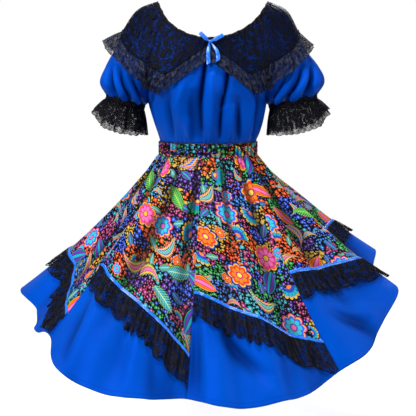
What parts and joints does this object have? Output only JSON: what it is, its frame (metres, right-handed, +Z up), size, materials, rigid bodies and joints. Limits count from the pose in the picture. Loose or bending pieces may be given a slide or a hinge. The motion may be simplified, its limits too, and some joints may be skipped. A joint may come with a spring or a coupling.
{
  "type": "square dance dress",
  "caption": "Short-sleeved dress with a wide gathered neck, a black lace collar and cuffs, and a full gored skirt with a printed upper part and a plain slanted hem, in the form of being worn.",
  "frame": {"origin": "midway between the tops of the shoulders, where the wearer holds the dress up", "axes": "+Z up, the front faces -Y and the wearer's left is +X"},
  "size_m": [1.0291, 0.8859, 0.9451],
  "materials": {
    "royal_blue_cotton": "matte woven cotton blend",
    "printed_cotton": "matte woven cotton with a multicoloured flower print on black",
    "black_lace": "fine black lace net",
    "blue_satin": "satin",
    "navy_piping": "matte"
  },
  "bodies": {
    "root": {"bodice_back": "royal_blue_cotton", "bodice_front": "royal_blue_cotton", "bow_knot": "blue_satin", "bow_loop_left": "blue_satin", "bow_loop_right": "blue_satin", "bow_tail_left": "blue_satin", "bow_tail_right": "blue_satin", "collar_braid_left": "black_lace", "collar_braid_right": "black_lace", "collar_left": "black_lace", "collar_right": "black_lace", "collar_ruffle_left": "black_lace", "collar_ruffle_right": "black_lace", "cuff_band_left": "black_lace", "cuff_band_right": "black_lace", "cuff_ruffle_left": "black_lace", "cuff_ruffle_right": "black_lace", "hem_back_left": "royal_blue_cotton", "hem_back_left_middle": "royal_blue_cotton", "hem_back_right": "royal_blue_cotton", "hem_back_right_middle": "royal_blue_cotton", "hem_front_left": "royal_blue_cotton", "hem_front_right": "royal_blue_cotton", "hem_left": "royal_blue_cotton", "hem_right": "royal_blue_cotton", "lace_back_left": "black_lace", "lace_back_left_middle": "black_lace", "lace_back_right": "black_lace", "lace_back_right_middle": "black_lace", "lace_front_left": "black_lace", "lace_front_right": "black_lace", "lace_left": "black_lace", "lace_right": "black_lace", "neckband": "black_lace", "print_back_left": "printed_cotton", "print_back_left_middle": "printed_cotton", "print_back_right": "printed_cotton", "print_back_right_middle": "printed_cotton", "print_front_left": "printed_cotton", "print_front_right": "printed_cotton", "print_left": "printed_cotton", "print_right": "printed_cotton", "sleeve_left": "royal_blue_cotton", "sleeve_right": "royal_blue_cotton", "trim_back_left": "blue_satin", "trim_back_left_middle": "blue_satin", "trim_back_right": "blue_satin", "trim_back_right_middle": "blue_satin", "trim_front_left": "blue_satin", "trim_front_right": "blue_satin", "trim_left": "blue_satin", "trim_right": "blue_satin", "waist_piping": "navy_piping", "waistband": "printed_cotton"}
  },
  "joints": []
}
